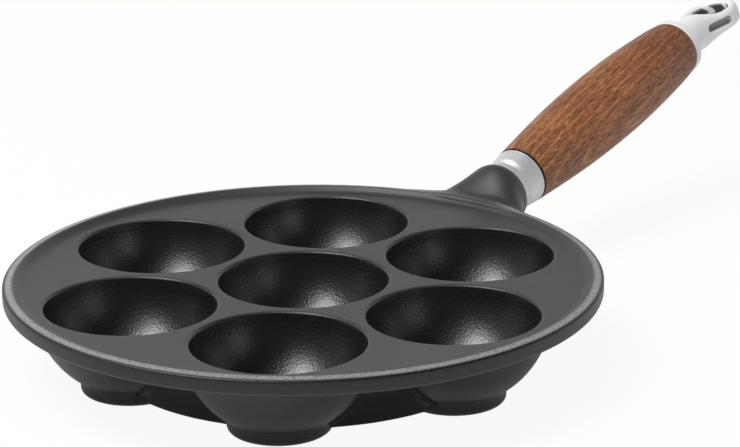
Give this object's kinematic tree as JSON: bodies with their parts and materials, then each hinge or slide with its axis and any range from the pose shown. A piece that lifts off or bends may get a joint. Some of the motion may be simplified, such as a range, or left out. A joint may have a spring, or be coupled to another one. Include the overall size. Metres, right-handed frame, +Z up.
{
  "type": "aebleskiver pan",
  "caption": "Round cast iron pan with ball-shaped cups for small filled pancakes, and a turned wood handle with a steel collar and hanging eye.",
  "frame": {"origin": "centre of the middle foot, on the surface the pan stands on", "axes": "+Z up out of the cups, +X along the handle"},
  "size_m": [0.378, 0.2044, 0.0689],
  "materials": {
    "iron": "satin seasoned cast iron, fine cast texture in the cups",
    "collar_steel": "satin turned steel",
    "seal": "matte black",
    "grip_wood": "oiled medium brown hardwood, grain along the handle",
    "eye_steel": "polished cast steel",
    "rod_steel": "plain threaded steel"
  },
  "bodies": {
    "pan": {"pan_body": "iron"},
    "handle": {"ferrule": "collar_steel", "seal_ring": "seal", "grip": "grip_wood"},
    "eye": {"hanging_eye": "eye_steel", "tie_rod": "rod_steel"}
  },
  "joints": [
    {"name": "handle_backs_off", "type": "slide", "parent": "pan", "child": "handle", "axis": [0.9748, 0, 0.2233], "range_m": [0, 0.015]},
    {"name": "eye_turn", "type": "hinge", "parent": "handle", "child": "eye", "pos_m": [0.1196, 0, 0.0298], "axis": [0.9748, 0, 0.2233], "range_deg": [0, 4320]}
  ],
  "couplings": [
    {"joint": "eye_turn", "follows": "handle_backs_off", "rad_per_m": 5026.5}
  ]
}
